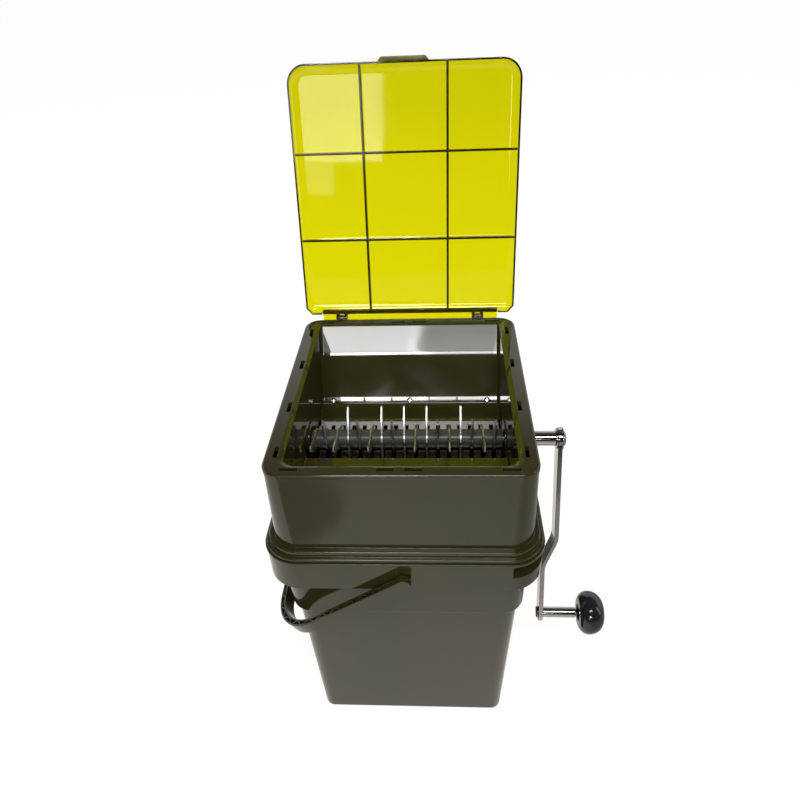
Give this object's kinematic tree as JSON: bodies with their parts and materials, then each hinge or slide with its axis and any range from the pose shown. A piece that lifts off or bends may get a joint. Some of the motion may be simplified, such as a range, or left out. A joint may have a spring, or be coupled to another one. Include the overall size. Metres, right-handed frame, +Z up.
{
  "type": "bait bucket with crusher",
  "caption": "Square olive bucket with a bail handle and a clip-on bait crusher: hopper with a bladed roller, combs, hand crank with knob, and a tinted clear hinged lid.",
  "frame": {"origin": "centre of the bucket's flat base, on the floor", "axes": "+Z up, +X towards the crank, +Y towards the lid's hinge"},
  "size_m": [0.3699, 0.3747, 0.6848],
  "materials": {
    "olive_plastic": "moulded olive plastic, semi-gloss",
    "tinted_plastic": "clear yellow-green tinted plastic, glossy",
    "drum_plastic": "dark olive-black plastic, glossy",
    "knob_plastic": "black plastic, polished",
    "bush_plastic": "dark plain plastic",
    "seal_rubber": "soft dark rubber",
    "blade_steel": "stamped stainless steel",
    "comb_steel": "stamped stainless steel sheet",
    "screw_steel": "plain steel",
    "bright_steel": "bright plated steel"
  },
  "bodies": {
    "bucket": {"bucket": "olive_plastic", "bucket_collar": "olive_plastic"},
    "handle": {"bucket_handle": "olive_plastic"},
    "crusher": {"crusher_housing": "olive_plastic", "housing_screws": "screw_steel", "neck_seal": "seal_rubber", "hopper": "olive_plastic", "rear_comb": "comb_steel", "front_comb": "comb_steel", "comb_screws": "screw_steel", "right_bush": "bush_plastic", "left_bush": "bush_plastic", "hinge_pins": "screw_steel"},
    "lid": {"lid": "tinted_plastic"},
    "roller": {"roller_shaft": "bright_steel", "shaft_clip": "screw_steel", "roller_spacers": "drum_plastic", "blades_level": "blade_steel", "blades_upright": "blade_steel", "blades_slanted": "blade_steel", "crank_sleeve": "bright_steel", "hub_washer": "bright_steel", "crank_arm": "bright_steel", "lock_washer": "bright_steel", "hub_screw": "bright_steel", "knob_spindle": "bright_steel", "spindle_rivet": "bright_steel"},
    "knob": {"crank_knob": "knob_plastic", "knob_cap": "knob_plastic"}
  },
  "joints": [
    {"name": "handle_swing", "type": "hinge", "parent": "bucket", "child": "handle", "pos_m": [0, 0, 0.2815], "axis": [0, 1, 0], "range_deg": [-5.5, 67.8]},
    {"name": "crusher_lift", "type": "slide", "parent": "bucket", "child": "crusher", "axis": [0, 0, 1], "range_m": [0, 0.15]},
    {"name": "lid_hinge", "type": "hinge", "parent": "crusher", "child": "lid", "pos_m": [0, 0.1445, 0.406], "axis": [1, 0, 0], "range_deg": [0, 102.15]},
    {"name": "roller_turn", "type": "hinge", "parent": "crusher", "child": "roller", "pos_m": [0, 0, 0.331], "axis": [1, 0, 0], "continuous": true},
    {"name": "knob_turn", "type": "hinge", "parent": "roller", "child": "knob", "pos_m": [0.2, -0.07706, 0.12921], "axis": [1, 0, 0], "continuous": true}
  ]
}
